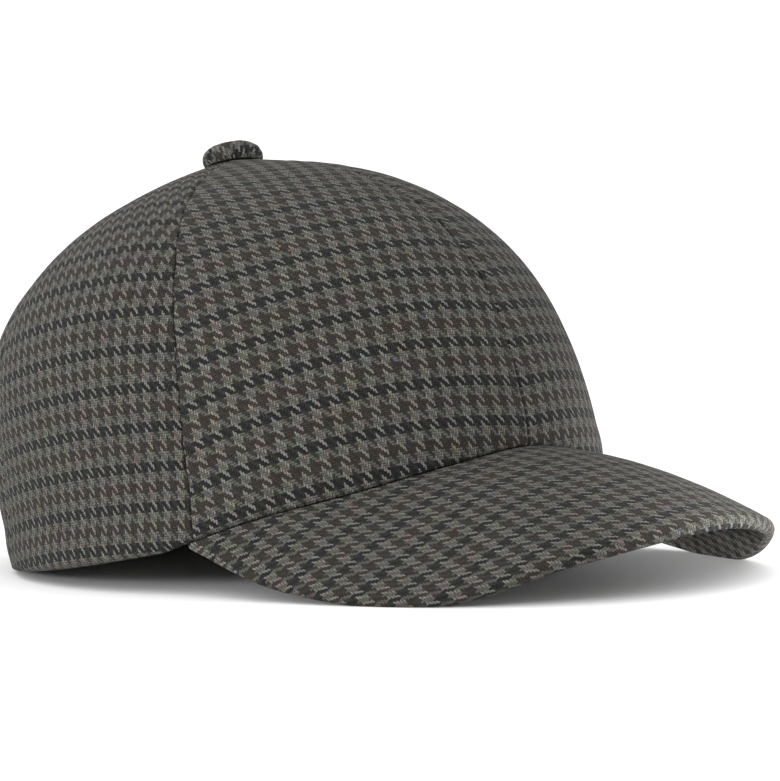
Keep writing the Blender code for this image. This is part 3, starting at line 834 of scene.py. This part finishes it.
def build_cover(name, node, under, material, seed):
    """The cloth on one face of the peak, rolled round half of its edge."""
    share = np.linspace(-1.0, 1.0, PEAK_COLUMNS)
    share = np.sign(share) * (1.0 - (1.0 - np.abs(share)) ** COLUMN_CROWDING)
    body = read_peak(PEAK_BODY, share)
    thickness = PEAK_END_THICKNESS + (PEAK_THICKNESS - PEAK_END_THICKNESS) * body
    thickness *= 1.0 - TIP_THINNING * ease((np.abs(share) - TIP_START) / 0.07)
    half = (thickness / 2)[:, None]
    width = np.linalg.norm(peak_face(share, 1.0) - peak_face(share, 0.0), axis=-1)[:, None]
    roll = np.minimum(half, width / 3)
    turns = np.linspace(0.0, ROLL_ENDS[under], ROLL_STEPS)
    reach = np.concatenate([PEAK_REACHES[None, :] * (1.0 - roll / width),
                            1.0 - roll * (1.0 - np.sin(turns)) / width], axis=1)
    lift = np.concatenate([half * np.ones(len(PEAK_REACHES)), half * np.cos(turns)], axis=1)
    columns = share[:, None] * np.ones(reach.shape)
    up = peak_up(columns, reach, reach * width)
    face = peak_face(columns, reach)
    middle = face - up * half[..., None]
    side = -1.0 if under else 1.0
    soft = uneven(face, SWELL_SIZE, seed) * SWELL_HEIGHT
    soft += uneven(face, SMALL_SWELL_SIZE, seed) * SMALL_SWELL_HEIGHT
    soft *= ease(np.minimum(reach, 1.0 - reach) / SWELL_START)
    outer = middle + up * (side * (lift + soft))[..., None]
    inner = middle + up * (side * CLEARANCE / 2)
    flat_side, flat_ahead = peak_cloth(face)

    # Round the roll the inner cloth draws up to the outer one, and the flat cloth runs on evenly.
    last = len(PEAK_REACHES)
    hub = inner[:, last]
    for k in range(ROLL_STEPS):
        inner[:, last + k] = hub + (outer[:, -1] - hub) * 0.96 * k / (ROLL_STEPS - 1)
        if k:
            step = np.linalg.norm(outer[:, last + k] - outer[:, last + k - 1], axis=1)
            before = np.linalg.norm(outer[:, last - 1] - outer[:, last - 2], axis=1)
            for flat_way in (flat_side, flat_ahead):
                onward = (flat_way[:, last - 1] - flat_way[:, last - 2]) / np.maximum(before, 1e-6)
                flat_way[:, last + k] = flat_way[:, last + k - 1] + onward * step

    # At the crown the covers reach in under its hem.
    corner = peak_face(share, 0.0)
    toward = np.stack([-corner[:, 0], APEX_SETBACK - corner[:, 1], np.zeros(len(share))], axis=-1)
    toward /= np.linalg.norm(toward, axis=-1, keepdims=True)
    lip = corner + toward * HEM_WALL
    drop = np.zeros_like(lip)
    drop[:, 2] = thickness if under else 0.0
    fill = np.zeros_like(lip)
    fill[:, 2] = thickness / 2 - side * CLEARANCE / 2
    outer = np.concatenate([(lip - drop)[:, None], (corner - drop)[:, None], outer], axis=1)
    inner = np.concatenate([(lip - fill)[:, None], (corner - fill)[:, None], inner], axis=1)
    loop = np.concatenate([outer, inner[:, ::-1]], axis=1)

    rear = peak_cloth(outer[:, :2])
    flat_side = np.concatenate([rear[0], flat_side], axis=1)
    flat_ahead = np.concatenate([rear[1], flat_ahead], axis=1)
    flat_side = np.concatenate([flat_side, flat_side[:, ::-1]], axis=1)
    flat_ahead = np.concatenate([flat_ahead, flat_ahead[:, ::-1]], axis=1)
    flat = np.stack([flat_side, flat_ahead, np.full_like(flat_side, seed * 0.01)], axis=-1)
    count, rows = loop.shape[1], outer.shape[1]
    faces = closed_faces(PEAK_COLUMNS, count)
    pairs = [(k, 2 * rows - 1 - k) for k in range(rows)]
    faces += cap_faces(0, pairs, None) + cap_faces((PEAK_COLUMNS - 1) * count, pairs, None)
    piece = add_piece(name, loop.reshape(-1, 3), faces, flat.reshape(-1, 3), material, [node])
    grid_area(outer)
    return piece


class CAP_OT_peak(bpy.types.Operator):
    """Build the two covers of the peak"""

    bl_idname = "cap.peak"
    bl_label = "Build the peak"

    def execute(self, context):
        upper = checked_wool("peak_wool", context.scene.cap_cloth)
        # The under cover's wool is painted 1.4 times lighter than the upper one's: painted light standing in
        # for light on the peak's underside.
        under = checked_wool("peak_under_wool_painted_light", context.scene.cap_cloth, painted_light_gain=1.4)
        build_cover("peak_upper_cloth", "peak_upper_cover", False, upper, 11)
        build_cover("peak_under_cloth", "peak_under_cover", True, under, 12)
        return {"FINISHED"}


# Button.


BUTTON_SIDES = 96
DOME_SIDE_POWER = 0.62
DOME_TOP_POWER = 0.94
GATHER_MIDDLE = 0.97
GATHER_REACH = 1.6 * MM
GATHER_START = 0.4 * MM
GATHER_PULL = 0.05
GATHER_DIP = 0.35 * MM
DENT_SIZE = 4 * MM
DENT_DEPTH = 0.4 * MM
BUTTON_CLOTH_SHIFT = (2.2 * MM, 1.4 * MM)


def cone_height(radius):
    """Height of the crown's top cone against its apex."""
    return -radius * math.tan(APEX_SLOPE)


def button_profile():
    """The button's half outline as radius and height, from its shank over the dome to the top."""
    seat = CROWN_HEIGHT + CLEARANCE
    shank_end = CROWN_HEIGHT - CLOTH_WALL / math.cos(APEX_SLOPE) - CLEARANCE / 2
    dome_base = seat + cone_height(BUTTON_RADIUS) + BUTTON_EDGE
    dome_height = CROWN_HEIGHT + BUTTON_HEIGHT - dome_base
    base_radius = BUTTON_RADIUS - BUTTON_TUCK
    edge_drop = dome_base - (seat + cone_height(base_radius))
    profile = [(0.0, shank_end), (SHANK_RADIUS, shank_end)]
    profile += [(r, seat + cone_height(r)) for r in np.linspace(SHANK_RADIUS, base_radius, 6)]
    for t in np.radians(np.linspace(-75.0, 0.0, 7))[1:]:
        profile.append((base_radius + BUTTON_TUCK * math.cos(t), dome_base + edge_drop * math.sin(t)))
    for t in np.radians(np.linspace(0.0, 90.0, 26))[1:]:
        profile.append((BUTTON_RADIUS * math.cos(t) ** DOME_SIDE_POWER,
                        dome_base + dome_height * math.sin(t) ** DOME_TOP_POWER))
    profile = np.array(profile)
    profile[-1, 0] = 0.0
    return profile, seat, dome_base


def gather_cover(points, radius, height, turns, seat):
    """Pulls the cover in and down in small folds along the button's edge."""
    near_edge = np.exp(-(((radius - BUTTON_RADIUS * GATHER_MIDDLE) / GATHER_REACH) ** 2))
    near_edge = near_edge * (height > seat + cone_height(radius) + GATHER_START)
    folds = uneven(np.stack([np.sin(turns) * 3, np.cos(turns) * 3, turns * 0], -1), 1.0, 21)
    folds = np.abs(folds[:, None] + 0.6 * np.sin(turns * 13 + 2.0 * np.sin(turns * 3))[:, None])
    from_axis = points[..., :2] - np.array((0.0, APEX_SETBACK))
    points[..., :2] -= from_axis * (near_edge * folds * GATHER_PULL)[..., None]
    points[..., 2] -= near_edge * folds * GATHER_DIP


class CAP_OT_button(bpy.types.Operator):
    """Build the covered button and finish its washer"""

    bl_idname = "cap.button"
    bl_label = "Build the button"

    def execute(self, context):
        # The button's wool is painted 1.2 times lighter than the crown's: painted light that lifts the
        # button's brightness.
        wool = checked_wool("button_wool_painted_light", context.scene.cap_cloth, painted_light_gain=1.2)
        profile, seat, dome_base = button_profile()
        turns = np.linspace(0.0, 2 * math.pi, BUTTON_SIDES, endpoint=False)
        radius = profile[None, :, 0] * np.ones((BUTTON_SIDES, 1))
        height = profile[None, :, 1] * np.ones((BUTTON_SIDES, 1))
        points = crown_place(turns[:, None], radius, height)
        gather_cover(points, radius, height, turns, seat)
        dents = uneven(points, DENT_SIZE, 22) * DENT_DEPTH
        points[..., 2] += dents * (height > dome_base)
        over_length = np.concatenate([[0.0], np.hypot(*np.diff(profile[::-1], axis=0).T).cumsum()])[::-1]
        flat_side = np.sin(turns)[:, None] * over_length[None, :]
        flat_up = np.cos(turns)[:, None] * over_length[None, :]
        shift_side, shift_up = BUTTON_CLOTH_SHIFT
        flat = np.stack([flat_side + shift_side, flat_up + shift_up, np.full_like(flat_up, 0.2)], axis=-1)
        rings = len(profile)
        faces = []
        for s in range(BUTTON_SIDES):
            n = (s + 1) % BUTTON_SIDES
            faces.append((0, s * rings + 1, n * rings + 1))
            for k in range(1, rings - 2):
                faces.append((s * rings + k, s * rings + k + 1, n * rings + k + 1, n * rings + k))
            faces.append((s * rings + rings - 2, rings - 1, n * rings + rings - 2))
        points, flat = points.reshape(-1, 3), flat.reshape(-1, 3)
        used = sorted({k for face in faces for k in face})
        order = {k: i for i, k in enumerate(used)}
        faces = [tuple(order[k] for k in face) for face in faces]
        piece = add_piece("button_cloth", points[used], faces, flat[used], wool, ["button"])
        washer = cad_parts["button_washer"]
        washer.material_slots[0].material = washer_metal("washer_metal_finish")
        return {"FINISHED"}


# Stage.


FLOOR_RADIUS = 2.0
FLOOR_BEND = 1.0
WALL_TOP = 1.3
FLOOR_SIDES = 64
LAMP_HEIGHT = 0.2
LAMP_AIM = (0.0, -0.02, 0.05)
FRONT_LAMP = {"place": (-0.5, -0.98, 0.11), "wide": 1.0}
SIDE_LAMP = {"place": (-1.1, 0.25, 0.25), "wide": 0.6}
REFLECTOR_PLACE = (-0.24, -0.62, 0.035)
REFLECTOR_AIM = (0.078, -0.1, 0.012)
REFLECTOR_SPREAD = math.radians(14.0)
REFLECTOR_RADIUS = 0.03


class CAP_OT_stage(bpy.types.Operator):
    """Set the floor, the light and the camera"""

    bl_idname = "cap.stage"
    bl_label = "Set the stage"

    def execute(self, context):
        stage = context.scene.cap_stage
        self.add_backdrop(stage)
        self.add_lights(stage)
        self.add_camera(stage)
        context.scene.view_settings.view_transform = "Standard"
        return {"FINISHED"}

    def add_backdrop(self, stage):
        """A floor that bends up into a wall all round, far from the cap."""
        mesh = bpy.data.meshes.new("floor")
        work = bmesh.new()
        rings = [(FLOOR_RADIUS / 4, 0.0), (FLOOR_RADIUS, 0.0)]
        for t in np.radians(range(6, 91, 6)):
            rings.append((FLOOR_RADIUS + FLOOR_BEND * math.sin(t), FLOOR_BEND * (1.0 - math.cos(t))))
        rings.append((FLOOR_RADIUS + FLOOR_BEND, WALL_TOP))
        turns = [2 * math.pi * s / FLOOR_SIDES for s in range(FLOOR_SIDES)]
        loops = [[work.verts.new((radius * math.cos(t), radius * math.sin(t), height)) for t in turns]
                 for radius, height in rings]
        work.faces.new(loops[0])
        for low, high in zip(loops, loops[1:]):
            for s in range(FLOOR_SIDES):
                n = (s + 1) % FLOOR_SIDES
                work.faces.new((low[s], high[s], high[n], low[n]))
        work.to_mesh(mesh)
        work.free()
        mesh.shade_smooth()
        floor = bpy.data.objects.new("floor", mesh)
        bpy.context.scene.collection.objects.link(floor)
        paint = Wool("floor_paint")
        paint.shader.inputs["Base Color"].default_value = (*stage.floor_colour, 1.0)
        paint.shader.inputs["Roughness"].default_value = 0.9
        paint.shader.inputs["Specular IOR Level"].default_value = 0.1
        mesh.materials.append(paint.material)

    def add_lights(self, stage):
        world = bpy.data.worlds.new("soft_sky")
        bpy.context.scene.world = world
        world.use_nodes = True
        sky = world.node_tree.nodes["Background"]
        sky.inputs["Color"].default_value = (1.0, 1.0, 1.0, 1.0)
        sky.inputs["Strength"].default_value = stage.sky
        wide_lamps = {"front": (FRONT_LAMP, stage.front_power), "side": (SIDE_LAMP, stage.side_power)}
        for name, (sizes, power) in wide_lamps.items():
            lamp = bpy.data.lights.new(name, "AREA")
            lamp.shape = "ELLIPSE"
            lamp.size = sizes["wide"]
            lamp.size_y = LAMP_HEIGHT
            self.add_lamp(lamp, sizes["place"], LAMP_AIM, power)
        reflector = bpy.data.lights.new("reflector", "SPOT")
        reflector.spot_size = REFLECTOR_SPREAD
        reflector.spot_blend = 1.0
        reflector.shadow_soft_size = REFLECTOR_RADIUS
        self.add_lamp(reflector, REFLECTOR_PLACE, REFLECTOR_AIM, stage.reflector_power)

    def add_lamp(self, lamp, place, aim, power):
        lamp.energy = power
        lamp_object = bpy.data.objects.new(lamp.name, lamp)
        lamp_object.location = place
        lamp_object.rotation_mode = "QUATERNION"
        lamp_object.rotation_quaternion = (Vector(aim) - Vector(place)).to_track_quat("-Z", "Y")
        bpy.context.scene.collection.objects.link(lamp_object)

    def add_camera(self, stage):
        azimuth, elevation = stage.azimuth, stage.elevation
        level = math.cos(elevation)
        back = Vector((math.sin(azimuth) * level, -math.cos(azimuth) * level, math.sin(elevation)))
        right = (-back).cross(Vector((0.0, 0.0, 1.0))).normalized()
        up = right.cross(-back)
        right, up = (right * math.cos(stage.roll) + up * math.sin(stage.roll),
                     up * math.cos(stage.roll) - right * math.sin(stage.roll))
        turn = Matrix([list(row) for row in TURN])
        axes = [turn @ axis for axis in (right, up, back)]
        place = turn @ (Vector(stage.aim) + back * stage.distance) + Vector(SHIFT)
        data = bpy.data.cameras.new("camera")
        data.sensor_fit = "HORIZONTAL"
        data.sensor_width = 36.0
        data.lens = stage.lens
        data.clip_start, data.clip_end = 0.01, 50.0
        camera = bpy.data.objects.new("camera", data)
        camera.matrix_world = Matrix.Translation(place) @ Matrix(axes).transposed().to_4x4()
        bpy.context.scene.collection.objects.link(camera)
        bpy.context.scene.camera = camera


class CAP_PT_sidebar(bpy.types.Panel):
    """Steps and sizes of the cap"""

    bl_idname = "CAP_PT_sidebar"
    bl_label = "Checked wool cap"
    bl_space_type = "VIEW_3D"
    bl_region_type = "UI"
    bl_category = "Cap"

    def draw(self, context):
        for title, group in (("Shape", context.scene.cap_shape), ("Cloth", context.scene.cap_cloth),
                             ("Stage", context.scene.cap_stage)):
            box = self.layout.box()
            box.label(text=title)
            for name in group.__annotations__:
                box.prop(group, name)
        for step in STEPS:
            self.layout.operator(step.bl_idname)


GROUPS = {"cap_shape": CapShape, "cap_cloth": CapCloth, "cap_stage": CapStage}
STEPS = (CAP_OT_panels, CAP_OT_peak, CAP_OT_button, CAP_OT_stage)


def register():
    for kind in (*GROUPS.values(), *STEPS, CAP_PT_sidebar):
        bpy.utils.register_class(kind)
    for name, kind in GROUPS.items():
        setattr(bpy.types.Scene, name, PointerProperty(type=kind))


def unregister():
    for name in GROUPS:
        delattr(bpy.types.Scene, name)
    for kind in (CAP_PT_sidebar, *reversed(STEPS), *GROUPS.values()):
        bpy.utils.unregister_class(kind)


def main():
    register()
    bpy.ops.cap.panels()
    bpy.ops.cap.peak()
    bpy.ops.cap.button()
    bpy.ops.cap.stage()


if __name__ == "__main__":
    main()
